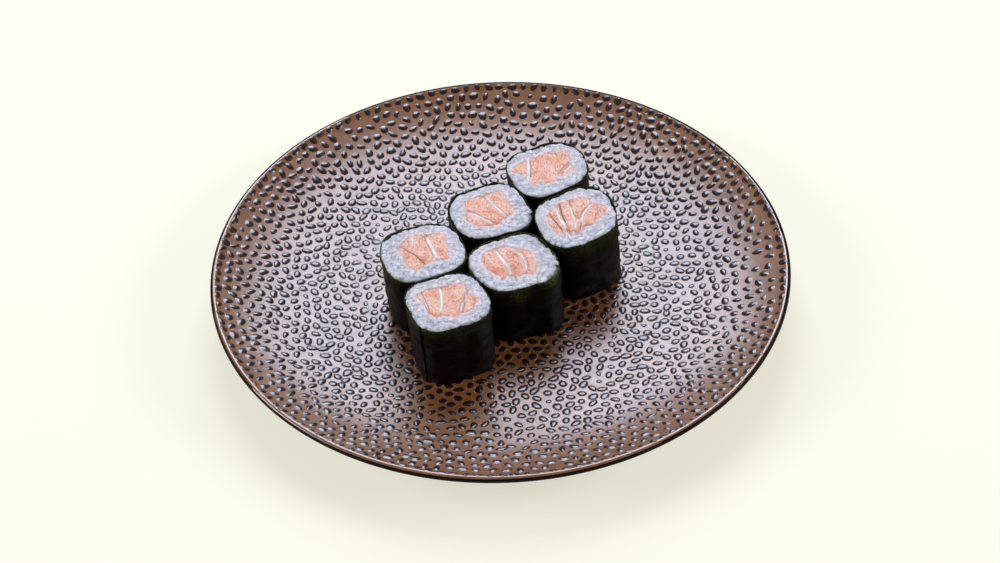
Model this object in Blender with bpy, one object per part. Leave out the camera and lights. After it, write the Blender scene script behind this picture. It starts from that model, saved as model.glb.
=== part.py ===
"""Six pieces of salmon maki standing on a shallow coupe plate.

Units are metres, +Z is up and +Y points away from the diner. The origin is under the middle of the
plate, on the table. Each piece of maki is a sheet of nori wrapped round a body of rice, with strips of
salmon running through the rice from the lower cut face to the upper one.
"""

import math
from collections import namedtuple

import bmesh
import bpy
import numpy as np

MM = 0.001
GAP = 0.3 * MM  # clearance between pieces that touch

# The plate: a flat well that curves up to a rounded lip, on a foot ring.
PLATE_RADIUS = 105 * MM
PLATE_HEIGHT = 18 * MM
WELL_RADIUS = 52 * MM
WELL_HEIGHT = 7 * MM
LIP_RADIUS = 1.3 * MM
LIP_SLOPE = math.radians(24)
RISE_POWER = 2.3  # how sharply the rise steepens on its way out
WALL_AT_FOOT = 4.4 * MM
FOOT_OUTER = 53 * MM
FOOT_INNER = 49 * MM
FOOT_ROUND = 0.6 * MM
FOOT_RECESS = 2.2 * MM
PLATE_STEPS = 64
RISE_STEPS = 8
LIP_STEPS = 7
UNDERSIDE_STEPS = 5
MERGE_DISTANCE = 0.01 * MM

# The maki: every piece is cut from a roll of this wrapping.
NORI_THICKNESS = 0.4 * MM
NORI_OVERLAP = math.radians(26)
NORI_RAMP = math.radians(20)
RICE_ROUND = 0.6 * MM
RICE_PROUD = 0.4 * MM  # how far the cut rice stands above the edge of the nori
ROUND_STEPS = 44
OVERLAP_STEPS = 4
FILLING_STEPS = 2
SEAM_STEPS = 6
SHARP_ANGLE = math.radians(30)
OUTSIDE = 30.0  # millimetres, well outside any piece

# A piece as seen from above. centre is where the middle of its cut top stands. radius is the mean of
# its outline, and oval, three and square are the bumps that make it an uneven rounded square, each as
# (millimetres, degrees). lean is how far the top stands to +X of the foot, taper the foot's share of
# the top's width, and flap the direction of the nori's overlapping end. filling is the outline of the
# salmon and cuts are the membranes between its strips, from the far side to the near one, each through
# three points. All lengths are in millimetres.
Piece = namedtuple(
    "Piece", "name centre radius oval three square height lean taper flap filling cuts"
)

PIECES = [
    Piece(
        "front", (-18.8, -34.3), 14.7, (0.4, 11), (0.2, 11), (0.9, -26), 26.5, -1.1, 0.965, 205,
        [(-11.2, 2.4), (-9.4, 5.6), (-5.5, 6.9), (-2.2, 7.4), (1.5, 8.3), (5.6, 8.9), (7.4, 4.5),
         (10.7, 1.0), (8.9, -4.2), (5.0, -6.3), (2.9, -7.9), (-0.5, -6.9), (-2.8, -8.0), (-6.8, -5.8),
         (-8.6, -1.2)],
        [[(-11.2, 14), (-8.3, 1.0), (-5.6, -12)], [(-2.4, 14), (-2.1, 1.0), (-3.3, -12)],
         [(7.6, 14), (6.4, 1.0), (3.4, -12)]],
    ),
    Piece(
        "left", (-27.4, -7.8), 15.1, (0.85, 26), (0.2, 4), (0.9, -27), 26.0, -1.2, 0.965, 120,
        [(-8.5, 1.6), (-7.2, 4.4), (-5.0, 8.4), (-1.5, 9.2), (3.5, 9.6), (7.6, 9.0), (9.0, 4.0),
         (9.5, -4.4), (6.5, -4.2), (3.6, -5.2), (0.6, -6.4), (-1.3, -9.4), (-4.8, -8.0), (-6.8, -3.4)],
        [[(-11, 5.5), (-3.4, -0.8), (2.5, -9)], [(0.2, 14), (3.2, 2.6), (6.3, -9)]],
    ),
    Piece(
        "middle", (4.9, -14.2), 15.2, (0.85, 10), (0.3, -42), (0.9, -21), 25.2, -1.5, 0.975, 320,
        [(-7.4, 7.0), (-10.4, 5.0), (-11.4, 0.6), (-9.2, -3.8), (-5.8, -6.2), (-4.2, -9.2), (-1.8, -6.4),
         (0.2, -8.3), (3.0, -6.0), (6.7, -7.0), (8.1, -2.0), (7.8, 3.4), (4.4, 6.4), (1.0, 6.6),
         (-1.6, 8.4), (-4.6, 8.0)],
        [[(-9.0, 14), (-3.5, 0.5), (0.4, -12)], [(-6.0, 14), (3.7, 0.8), (2.4, -12)]],
    ),
    Piece(
        "inner", (-2.6, 12.6), 14.8, (0.4, 21), (0.35, -30), (0.85, -25), 26.0, -1.2, 0.97, 150,
        [(-9.4, 5.4), (-5.5, 7.6), (-1.8, 8.6), (1.5, 10.2), (5.0, 10.0), (6.0, 5.2), (8.9, -0.2),
         (7.0, -3.2), (4.8, -4.0), (2.8, -8.2), (-1.0, -8.2), (-5.2, -8.2), (-8.6, -4.4), (-8.8, 0.8)],
        [[(-14, 2.2), (-4.4, -2.8), (4.5, -11.5)], [(-6.0, 14), (2.2, 1.7), (13, -10)]],
    ),
    Piece(
        "right", (28.1, 7.0), 15.2, (1.15, 53), (0.1, 43), (0.8, -23), 26.5, -1.7, 0.975, 20,
        [(-10.8, 1.6), (-8.0, 4.2), (-6.0, 7.4), (-3.6, 8.4), (-1.4, 8.8), (2.2, 10.8), (5.2, 9.2),
         (7.2, 6.6), (11.0, 4.6), (11.2, 1.6), (8.2, -1.0), (6.8, -4.2), (2.8, -5.4), (1.8, -8.4),
         (0.5, -9.8), (-0.9, -7.8), (-2.4, -10.6), (-4.0, -7.8), (-6.6, -9.6), (-8.8, -5.8)],
        [[(-14, 9), (-7.2, -2.8), (-3.6, -13.5)], [(-6.6, 14), (-4.7, 0.5), (-2.6, -13)],
         [(-2.6, 14), (-1.2, 0.5), (-0.2, -13)], [(11, 14), (2.7, 0.8), (1.6, -13)]],
    ),
    Piece(
        "far", (18.8, 34.3), 14.6, (1.1, 34), (0.45, 26), (0.75, -23), 26.0, -1.2, 0.97, 80,
        [(-13.2, 0.8), (-11.0, 3.0), (-7.2, 5.4), (-2.4, 7.6), (3.0, 9.2), (7.8, 9.2), (8.9, 3.0),
         (9.8, -1.0), (8.6, -4.0), (4.4, -4.8), (2.8, -7.0), (-0.4, -8.4), (-2.4, -5.6), (-4.9, -9.6),
         (-6.4, -5.0), (-8.6, -2.4), (-12.2, -1.6)],
        [[(-8.0, 14), (-6.8, 0.5), (-7.0, -13)], [(13, 12), (6.9, -0.4), (-0.5, -12)]],
    ),
]


def clear_scene():
    for item in list(bpy.data.objects):
        bpy.data.objects.remove(item)


def material(name, colour, roughness):
    """A Principled material of one colour, given as linear red, green and blue."""
    made = bpy.data.materials.new(name)
    made.use_nodes = True
    shader = made.node_tree.nodes["Principled BSDF"]
    shader.inputs["Base Color"].default_value = (*colour, 1)
    shader.inputs["Roughness"].default_value = roughness
    shader.inputs["Metallic"].default_value = 0
    return made


def add_mesh(name, bm, finish):
    """Links a bmesh as an object of that name, shaded smooth but for its sharp edges."""
    mesh = bpy.data.meshes.new(name)
    bm.to_mesh(mesh)
    bm.free()
    mesh.materials.append(finish)
    mesh.shade_smooth()
    mesh.set_sharp_from_angle(angle=SHARP_ANGLE)
    made = bpy.data.objects.new(name, mesh)
    bpy.context.scene.collection.objects.link(made)
    return made


def well_height(radius):
    """The plate's top: flat out to the well's edge, then rising ever more steeply, to the lip at its slope."""
    climb = max(radius - WELL_RADIUS, 0.0)
    reach = PLATE_RADIUS - LIP_RADIUS - WELL_RADIUS
    return WELL_HEIGHT + (PLATE_HEIGHT - WELL_HEIGHT) * (climb / reach) ** RISE_POWER


def plate_profile():
    """Half of the plate's section, from the middle of the well over the lip to the middle underneath."""
    lip_x, lip_z = PLATE_RADIUS - LIP_RADIUS, PLATE_HEIGHT - LIP_RADIUS
    turns = np.linspace(math.pi / 2 + LIP_SLOPE, LIP_SLOPE - math.pi / 2, LIP_STEPS)
    lip = [(lip_x + LIP_RADIUS * math.cos(t), lip_z + LIP_RADIUS * math.sin(t)) for t in turns]
    rising = np.linspace(WELL_RADIUS, lip[0][0], RISE_STEPS)[:-1]
    falling = np.linspace(lip[-1][0], FOOT_OUTER + FOOT_ROUND, UNDERSIDE_STEPS)[1:]
    lip_wall = well_height(lip[-1][0]) - lip[-1][1]
    spread = (falling - FOOT_OUTER) / (lip[-1][0] - FOOT_OUTER)
    wall = WALL_AT_FOOT + (lip_wall - WALL_AT_FOOT) * spread
    return (
        [(0, WELL_HEIGHT)]
        + [(r, well_height(r)) for r in rising]
        + lip
        + [(r, well_height(r) - w) for r, w in zip(falling, wall)]
        + [(FOOT_OUTER, FOOT_ROUND), (FOOT_OUTER - FOOT_ROUND, 0)]
        + [(FOOT_INNER + FOOT_ROUND, 0), (FOOT_INNER, FOOT_ROUND)]
        + [(FOOT_INNER, FOOT_RECESS), (0, FOOT_RECESS)]
    )


def plate(finish):
    """Turns the plate's section once round the upright axis."""
    bm = bmesh.new()
    points = [bm.verts.new((r, 0, z)) for r, z in plate_profile()]
    for start, end in zip(points, points[1:]):
        bm.edges.new((start, end))
    made = add_mesh("plate", bm, finish)
    turn = made.modifiers.new("turn", "SCREW")
    turn.steps = turn.render_steps = PLATE_STEPS
    turn.use_merge_vertices = True
    turn.merge_threshold = MERGE_DISTANCE
    turn.use_smooth_shade = True


def outline(piece, inset, turns):
    """Plan outline in millimetres: a mean radius with two, three and four rounded bumps round it."""
    bumps = zip((2, 3, 4), (piece.oval, piece.three, piece.square))
    radius = piece.radius - inset
    for count, (size, turn) in bumps:
        radius = radius + size * np.cos(count * (turns - math.radians(turn)))
    return np.stack([radius * np.cos(turns), radius * np.sin(turns)], axis=1)


def placed(piece, plan, height):
    """Puts plan points, in millimetres from the piece's middle, at a height above the foot of the piece.

    Lower down, the piece is narrower by its taper and stands to one side by its lean."""
    share = height / (piece.height * MM)
    scale = piece.taper + (1 - piece.taper) * share
    across = np.array(piece.centre) - np.array((piece.lean, 0)) * (1 - share)
    level = np.full(len(plan), WELL_HEIGHT + GAP + height)
    return np.column_stack([(plan * scale + across) * MM, level])


def smooth_loop(corners, per_span):
    """A closed Catmull-Rom curve through the corners, with per_span points for each."""
    p0, p1, p2, p3 = (np.roll(np.array(corners, float), k, axis=0)[:, None] for k in (1, 0, -1, -2))
    t = np.linspace(0, 1, per_span, endpoint=False)[None, :, None]
    swing = (p2 - p0) * t + (2 * p0 - 5 * p1 + 4 * p2 - p3) * t**2 + (3 * p1 - p0 - 3 * p2 + p3) * t**3
    return (p1 + swing / 2).reshape(-1, 2)


def grown(loop, distance):
    """The loop moved outwards by a distance along its own normals. The loop runs anticlockwise."""
    along = np.roll(loop, -1, axis=0) - np.roll(loop, 1, axis=0)
    along /= np.linalg.norm(along, axis=1)[:, None]
    return loop + distance * np.stack([along[:, 1], -along[:, 0]], axis=1)


def anticlockwise(loop):
    """The loop in anticlockwise order, whichever way it was drawn."""
    x, y = loop[:, 0], loop[:, 1]
    area = np.sum(x * np.roll(y, -1) - y * np.roll(x, -1))
    return loop if area > 0 else loop[::-1]


def stack_of_loops(loops):
    """A closed solid over a stack of anticlockwise loops that have the same number of points."""
    bm = bmesh.new()
    rings = [[bm.verts.new(point) for point in loop] for loop in loops]
    for low, high in zip(rings, rings[1:]):
        for k in range(len(low)):
            following = (k + 1) % len(low)
            bm.faces.new((low[k], low[following], high[following], high[k]))
    bm.faces.new(rings[0][::-1])
    bm.faces.new(rings[-1])
    return bm


def wrapped_nori(piece, finish):
    """One sheet carried round the rice, whose last stretch climbs over its own beginning.

    Its section is a thin upright rectangle, joined to the next all the way along and closed at both ends."""
    start = math.radians(piece.flap)
    end = start + 2 * math.pi + NORI_OVERLAP
    turns = np.linspace(start, end, ROUND_STEPS + OVERLAP_STEPS)
    climb = np.clip((turns - (start + 2 * math.pi - NORI_RAMP)) / NORI_RAMP, 0, 1)
    lift = climb**2 * (3 - 2 * climb) * (NORI_THICKNESS + GAP) / MM
    thickness = NORI_THICKNESS / MM
    outer = outline(piece, 0, turns)
    outward = outer / np.linalg.norm(outer, axis=1)[:, None]
    outer = outer + outward * lift[:, None]
    inner = outer - outward * thickness
    top = piece.height * MM - RICE_PROUD
    edges = [placed(piece, outer, 0), placed(piece, outer, top)]
    edges += [placed(piece, inner, top), placed(piece, inner, 0)]
    bm = bmesh.new()
    lines = [[bm.verts.new(point) for point in edge] for edge in edges]
    for side in range(4):
        near, far = lines[side], lines[(side + 1) % 4]
        for k in range(len(turns) - 1):
            bm.faces.new((near[k], near[k + 1], far[k + 1], far[k]))
    bm.faces.new([line[0] for line in lines])
    bm.faces.new([line[-1] for line in reversed(lines)])
    add_mesh(f"nori_{piece.name}", bm, finish)


def filling_loop(piece):
    """The salmon's outline in millimetres, anticlockwise."""
    return anticlockwise(smooth_loop(piece.filling, FILLING_STEPS))


def cutter_from(name, loops):
    """A solid that only shapes others: it isn't rendered and shows as wire."""
    made = add_mesh(name, stack_of_loops(loops), None)
    made.hide_render = True
    made.display_type = "WIRE"
    return made


def trim(target, cutter, operation):
    """Adds a Boolean to the target: the cutter is taken from it, or only what they share stays."""
    cut = target.modifiers.new(cutter.name, "BOOLEAN")
    cut.operation = operation
    cut.solver = "EXACT"
    cut.object = cutter


def rice_body(piece, finish):
    """The rice inside the nori, its edges rounded, with a channel for the salmon right through it."""
    turns = np.linspace(0, 2 * math.pi, ROUND_STEPS, endpoint=False)
    inset = (NORI_THICKNESS + GAP) / MM
    rounding = RICE_ROUND / MM
    top = piece.height * MM
    levels = [(0, rounding), (RICE_ROUND, 0), (top - RICE_PROUD - RICE_ROUND, 0), (top, rounding)]
    loops = [placed(piece, outline(piece, inset + extra, turns), z) for z, extra in levels]
    body = add_mesh(f"rice_{piece.name}", stack_of_loops(loops), finish)
    channel = grown(filling_loop(piece), GAP / MM)
    through = [placed(piece, channel, z) for z in (-RICE_ROUND, top + RICE_ROUND)]
    trim(body, cutter_from(f"channel_{piece.name}", through), "DIFFERENCE")


def membrane(points):
    """A curve through three points: a parabola from the first to the last."""
    t = np.linspace(0, 1, SEAM_STEPS)[:, None]
    first, middle, last = np.array(points, float)
    return first * (1 - t) * (1 - 2 * t) + middle * 4 * t * (1 - t) + last * t * (2 * t - 1)


def shifted(curve, distance):
    """An open curve moved sideways, to the left as one travels along it."""
    along = np.gradient(curve, axis=0)
    along /= np.linalg.norm(along, axis=1)[:, None]
    return curve + distance * np.stack([-along[:, 1], along[:, 0]], axis=1)


def salmon_strips(piece, finish):
    """The salmon lies in strips side by side: the filling is cut along each membrane, with a gap there."""
    membranes = [membrane(points) for points in piece.cuts]
    borders = [shifted(membranes[0], -OUTSIDE), *membranes, shifted(membranes[-1], OUTSIDE)]
    clearance = GAP / MM / 2
    top = piece.height * MM
    for number, (before, after) in enumerate(zip(borders, borders[1:]), start=1):
        name = f"salmon_{piece.name}_{number}"
        strip = add_mesh(
            name, stack_of_loops([placed(piece, filling_loop(piece), z) for z in (0, top)]), finish
        )
        slab = np.concatenate([shifted(before, clearance), shifted(after, -clearance)[::-1]])
        through = [placed(piece, slab, z) for z in (-RICE_ROUND, top + RICE_ROUND)]
        trim(strip, cutter_from(f"between_{piece.name}_{number}", through), "INTERSECT")


def main():
    clear_scene()
    plate(material("glazed stoneware", (0.14, 0.10, 0.085), 0.3))
    nori = material("toasted nori", (0.008, 0.010, 0.007), 0.45)
    rice = material("cooked rice", (0.68, 0.70, 0.78), 0.35)
    salmon = material("raw salmon", (0.82, 0.33, 0.22), 0.35)
    for piece in PIECES:
        wrapped_nori(piece, nori)
        rice_body(piece, rice)
        salmon_strips(piece, salmon)


main()
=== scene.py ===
"""The looks of six pieces of salmon maki on a dotted stoneware plate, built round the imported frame.

Each section below is one part of the dish, in the order in which it is made and laid: the plate, the dots
of its glaze, the nori, the rice, the salmon and its fat, and then the table and the light."""

import math
import bpy
import numpy as np
from mathutils import Matrix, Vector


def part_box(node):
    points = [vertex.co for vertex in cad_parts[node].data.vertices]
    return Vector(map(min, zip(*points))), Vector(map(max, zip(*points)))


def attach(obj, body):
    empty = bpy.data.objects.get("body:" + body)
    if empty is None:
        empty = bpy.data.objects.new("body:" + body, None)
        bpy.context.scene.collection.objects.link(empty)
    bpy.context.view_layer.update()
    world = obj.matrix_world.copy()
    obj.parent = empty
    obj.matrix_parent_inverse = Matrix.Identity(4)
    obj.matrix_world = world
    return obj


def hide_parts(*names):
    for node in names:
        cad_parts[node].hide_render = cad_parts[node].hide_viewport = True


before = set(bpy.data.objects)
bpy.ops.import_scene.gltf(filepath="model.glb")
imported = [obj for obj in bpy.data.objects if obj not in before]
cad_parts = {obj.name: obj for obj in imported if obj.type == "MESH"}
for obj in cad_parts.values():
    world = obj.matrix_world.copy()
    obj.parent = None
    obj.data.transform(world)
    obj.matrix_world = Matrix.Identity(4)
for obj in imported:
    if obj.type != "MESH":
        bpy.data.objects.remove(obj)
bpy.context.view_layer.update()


# PLATE. A round coupe plate of stoneware, pressed, turned smooth and dipped in a satin brown glaze. Black slip
# covers its outside, laid on askew: it runs over the crest at the back and stops short of it in front. One
# section, from the middle of the well over the lip to the middle of the foot, is turned once round.
MM = 0.001
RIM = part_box("plate")[1].x
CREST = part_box("plate")[1].z
LIP = 1.3 * MM
LIP_SLOPE = math.radians(24)
RISE_POWER = 2.3  # how sharply the rise steepens on its way out
WELL = 52 * MM
WELL_HEIGHT = 7 * MM
GLAZE_SUNK = 0.15 * MM  # the glaze between the dots lies this far under the frame's top
FOOT = 53 * MM
FOOT_WIDTH = 4 * MM
FOOT_RECESS = 2.2 * MM
FOOT_ROUND = 0.6 * MM
FOOT_WALL = 4.4 * MM
PLATE_TURNS = 240
DOT_REACH = RIM - 1.45 * MM  # no dot comes further out than this


def paint(code):
    """An sRGB hex colour as linear red, green, blue and alpha 1: the sRGB curve undone channel by channel."""
    channels = np.array([int(code[k : k + 2], 16) for k in (1, 3, 5)]) / 255
    linear = np.where(channels <= 0.04045, channels / 12.92, ((channels + 0.055) / 1.055) ** 2.4)
    return (*linear.tolist(), 1.0)


def add(material, kind, inputs, give=None, **settings):
    """Adds a node to a material, with its properties, and with a value or a link for each input by name.

    What comes back is the output named by give, or else the node's first."""
    made = material.node_tree.nodes.new(kind)
    for name, value in settings.items():
        setattr(made, name, value)
    for name, value in inputs.items():
        socket = next(each for each in made.inputs if each.enabled and each.name == name)
        if isinstance(value, bpy.types.NodeSocket):
            material.node_tree.links.new(value, socket)
        else:
            socket.default_value = value
    return next((each for each in made.outputs if each.enabled and give in (None, each.name)), None)


def new_material(name):
    """An empty material, with its object coordinates ready to use. Noise over them has lumps about 0.5 divided
    by its scale across."""
    material = bpy.data.materials.new(name)
    material.use_nodes = True
    material.node_tree.nodes.clear()
    return material, add(material, "ShaderNodeTexCoord", {}, give="Object")


def shells(name, grid, material, rows_close=False, **marks):
    """A mesh of closed shells, from points in an array of shells, rows, columns and x, y, z.

    Columns run round and close. Rows close too, as on a ring, or else each end row is shut by a fan about its
    mean point. marks are point attributes, given as arrays of shells, rows and columns."""
    count, rows, columns = grid.shape[:3]
    index = np.arange(count * rows * columns).reshape(count, rows, columns)
    last = rows if rows_close else rows - 1
    here, below = index[:, :last], np.roll(index, -1, axis=1)[:, :last]
    quads = np.stack([here, below, np.roll(below, -1, axis=2), np.roll(here, -1, axis=2)], axis=-1)
    poles = np.zeros((count, 0, 3)) if rows_close else np.stack([grid[:, 0], grid[:, -1]], axis=1).mean(axis=2)
    fans = np.zeros((0, 3), int)
    if not rows_close:
        hub = index.size + np.arange(2 * count).reshape(count, 2, 1) + np.zeros(columns, int)
        first, end = index[:, 0], index[:, -1]
        fans = np.concatenate([
            np.stack([hub[:, 0], first, np.roll(first, -1, axis=1)], axis=-1).reshape(-1, 3),
            np.stack([hub[:, 1], np.roll(end, -1, axis=1), end], axis=-1).reshape(-1, 3),
        ])
    corners = np.concatenate([quads.ravel(), fans.ravel()])
    sizes = np.repeat([4, 3], [quads.size // 4, len(fans)])
    points = np.concatenate([grid.reshape(-1, 3), poles.reshape(-1, 3)])
    mesh = bpy.data.meshes.new(name)
    mesh.vertices.add(len(points))
    mesh.vertices.foreach_set("co", points.astype(np.float32).ravel())
    mesh.loops.add(len(corners))
    mesh.loops.foreach_set("vertex_index", corners.astype(np.int32))
    mesh.polygons.add(len(sizes))
    mesh.polygons.foreach_set("loop_start", (np.cumsum(sizes) - sizes).astype(np.int32))
    mesh.update(calc_edges=True)
    for mark, values in marks.items():
        values = np.broadcast_to(values, grid.shape[:3])
        ends = np.zeros((count, 0)) if rows_close else values[:, [0, -1]].mean(axis=2)
        mark_points(mesh, mark, np.concatenate([values.ravel(), ends.ravel()]))
    return show(mesh, material)


def mark_points(mesh, name, values):
    """Stores one number for each point of a mesh."""
    mesh.attributes.new(name, "FLOAT", "POINT").data.foreach_set("value", values.astype(np.float32))


def show(mesh, material):
    """Links a mesh as a smooth piece of one material, named as the mesh is."""
    mesh.materials.append(material)
    mesh.shade_smooth()
    piece = bpy.data.objects.new(mesh.name, mesh)
    bpy.context.scene.collection.objects.link(piece)
    return piece


def lay(piece, slot, *nodes):
    """The piece is made part of the dish's root body, and the frame's nodes it stands for are hidden. slot is not
    used.
    """
    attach(piece, "root")
    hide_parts(*nodes)


def plate_top(radius):
    """Height of the frame's top of the plate: flat across the well, then rising ever more steeply to the lip."""
    way = np.clip((radius - WELL) / (RIM - LIP - WELL), 0, 1)
    return WELL_HEIGHT + (CREST - WELL_HEIGHT) * way**RISE_POWER


def glaze_level(radius):
    """The glaze between the dots: sunk under the frame's top, but for the last stretch before the lip."""
    return plate_top(radius) - GLAZE_SUNK * np.clip((RIM - LIP - radius) / (2 * MM), 0, 1)


def plate_section():
    """Radius and height of the plate's section: the well, the rise, a half round lip, the slanting wall
    underneath, the foot ring and its recess."""
    lip_turns = np.linspace(math.pi / 2 + LIP_SLOPE, LIP_SLOPE - math.pi / 2, 17)
    lip = np.stack([RIM - LIP + LIP * np.cos(lip_turns), CREST - LIP + LIP * np.sin(lip_turns)])
    out = np.concatenate([np.linspace(0.4 * MM, WELL, 24), np.linspace(WELL, lip[0, 0], 56)[1:-1]])
    back = np.linspace(lip[0, -1], FOOT + FOOT_ROUND, 24)[1:]
    lip_wall = plate_top(lip[0, -1]) - lip[1, -1]
    wall = FOOT_WALL + (lip_wall - FOOT_WALL) * (back - FOOT) / (lip[0, -1] - FOOT)
    corner = np.linspace(0, math.pi / 2, 5)
    inner_foot = FOOT - FOOT_WIDTH
    foot_r = [FOOT - FOOT_ROUND + FOOT_ROUND * np.cos(corner), inner_foot + FOOT_ROUND * (1 - np.sin(corner))]
    foot_z = [FOOT_ROUND * (1 - np.sin(corner)), FOOT_ROUND * (1 - np.cos(corner))]
    under = np.linspace(inner_foot, 0.4 * MM, 12)
    r = np.concatenate([out, lip[0], back, foot_r[0], foot_r[1], under])
    z = [glaze_level(out), lip[1], plate_top(back) - wall, foot_z[0], foot_z[1], np.full(12, FOOT_RECESS)]
    return r, np.concatenate(z)


def stoneware_glaze():
    """Satin iron glaze on stoneware: a warm brown, clouded where it lies thicker and fine speckled. It holds
    much iron, so it shines harder than clear glaze, and it is smooth enough to mirror softly what is near. On
    the lip, left and right, it is smoothest."""
    material, place = new_material("satin iron glaze on stoneware")
    cloud = add(material, "ShaderNodeTexNoise", {"Vector": place, "Scale": 0.5 / (4 * MM), "Detail": 4})
    thick = add(material, "ShaderNodeMapRange", {"Value": cloud, "From Min": 0.3, "From Max": 0.7})
    tones = {"Factor": thick, "A": paint("#875026"), "B": paint("#A26C3A")}
    brown = add(material, "ShaderNodeMix", tones, data_type="RGBA")
    grain = add(material, "ShaderNodeTexNoise", {"Vector": place, "Scale": 0.5 / (0.7 * MM), "Detail": 2})
    speck = add(material, "ShaderNodeMapRange", {"Value": grain, "From Min": 0.35, "From Max": 0.75, "To Max": 0.3})
    brown = add(material, "ShaderNodeMix", {"Factor": speck, "A": brown, "B": paint("#7E4E2A")}, data_type="RGBA")
    matt = add(material, "ShaderNodeTexNoise", {"Vector": place, "Scale": 0.5 / (1.6 * MM), "Detail": 2})
    field = {"Value": matt, "From Min": 0.35, "From Max": 0.65, "To Min": 0.34, "To Max": 0.48}
    lip = add(material, "ShaderNodeAttribute", {}, give="Fac", attribute_name="lip")
    sockets = {"Value": lip, "To Min": add(material, "ShaderNodeMapRange", field), "To Max": 0.14}
    rough = add(material, "ShaderNodeMapRange", sockets)
    bump = add(material, "ShaderNodeBump", {"Height": grain, "Distance": 0.012 * MM})
    finish = {
        "Base Color": brown, "Roughness": rough, "IOR": 1.66, "Normal": bump,
        "Coat Weight": 0.85, "Coat Roughness": 0.24, "Coat IOR": 1.75,
    }
    add(material, "ShaderNodeOutputMaterial", {"Surface": add(material, "ShaderNodeBsdfPrincipled", finish)})
    return material


def black_slip():
    """Dry black slip on the outside of the plate, from the lip to the foot: matt, with hardly any shine."""
    material, place = new_material("matt black stoneware slip")
    grain = add(material, "ShaderNodeTexNoise", {"Vector": place, "Scale": 0.5 / (1.2 * MM), "Detail": 3})
    tones = {"Factor": grain, "A": paint("#070505"), "B": paint("#140D0B")}
    black = add(material, "ShaderNodeMix", tones, data_type="RGBA")
    bump = add(material, "ShaderNodeBump", {"Height": grain, "Distance": 0.05 * MM})
    finish = {"Base Color": black, "Roughness": 0.6, "IOR": 1.2, "Normal": bump}
    add(material, "ShaderNodeOutputMaterial", {"Surface": add(material, "ShaderNodeBsdfPrincipled", finish)})
    return material


section_r, section_z = plate_section()
turns = np.linspace(0, 2 * math.pi, PLATE_TURNS, endpoint=False)
turned = np.stack([
    section_r[:, None] * np.cos(turns),
    section_r[:, None] * np.sin(turns),
    section_z[:, None] + 0 * turns,
], axis=-1)
on_lip = np.clip((section_r - RIM + 1.9 * MM) / (0.4 * MM), 0, 1)[:, None] * np.abs(np.cos(turns))
body = shells("plate_body", turned[None], stoneware_glaze(), lip=on_lip[None])
body.data.materials.append(black_slip())
middles = np.zeros(len(body.data.polygons) * 3, np.float32)
body.data.polygons.foreach_get("center", middles)
middles = middles.reshape(-1, 3)
out_there = np.hypot(middles[:, 0], middles[:, 1])
askew = 1.0 + (0.65 * middles[:, 1] + 0.15 * middles[:, 0]) / out_there
outside = (out_there > RIM - askew * MM) | (middles[:, 2] < glaze_level(out_there) - 1.0 * MM)
body.data.polygons.foreach_set("material_index", outside.astype(np.int32))
lay(body, "glaze", "plate")


# DOTS OF GLAZE. Close-set drops of a black glossy glaze stand on the satin one, from the middle of the well to the
# lip: ovals, tears and beans about 4 mm long that touch nowhere. Each is a low pill with a flat top, ringed round its
# foot with a lighter brown. All of them are one mesh.
DOT_COUNT = 2160
RIM_DOTS = 146  # of these, how many start out evenly round the edge of their field
DOT_FIELD = RIM - 2.7 * MM
DOT_SPACING = 4.8 * MM
UNROLLED_R = np.linspace(0, RIM - LIP, 400)
UNROLLED = np.concatenate([[0], np.cumsum(np.hypot(np.diff(UNROLLED_R), np.diff(plate_top(UNROLLED_R))))])
DOT_HEIGHT = 0.34 * MM
DOT_COLUMNS = 9
DOT_RINGS = np.array([0.4, 0.72, 0.94, 1.0, 1.2])[None, :, None]  # shares of the way out to its foot
rng = np.random.default_rng(11)


def spread(points, spacing, rounds, hold):
    """Points moved apart: in each round every pair closer than the spacing is pushed away by a share of what is
    missing, and hold then brings back the points that have left their field."""
    for _ in range(rounds):
        away = points[:, None] - points[None]
        distance = np.hypot(away[..., 0], away[..., 1]) + 10 * spacing * np.eye(len(points))
        push = np.clip(spacing / distance - 1, 0, 4)
        points = hold(points + 0.2 * (away * push[..., None]).sum(axis=1))
    return points


def hold_on_plate(points):
    """Brings points outside the dotted field back to its edge."""
    radius = np.hypot(points[:, 0], points[:, 1])
    return points * np.minimum(1, dot_field / radius)[:, None]


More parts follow.
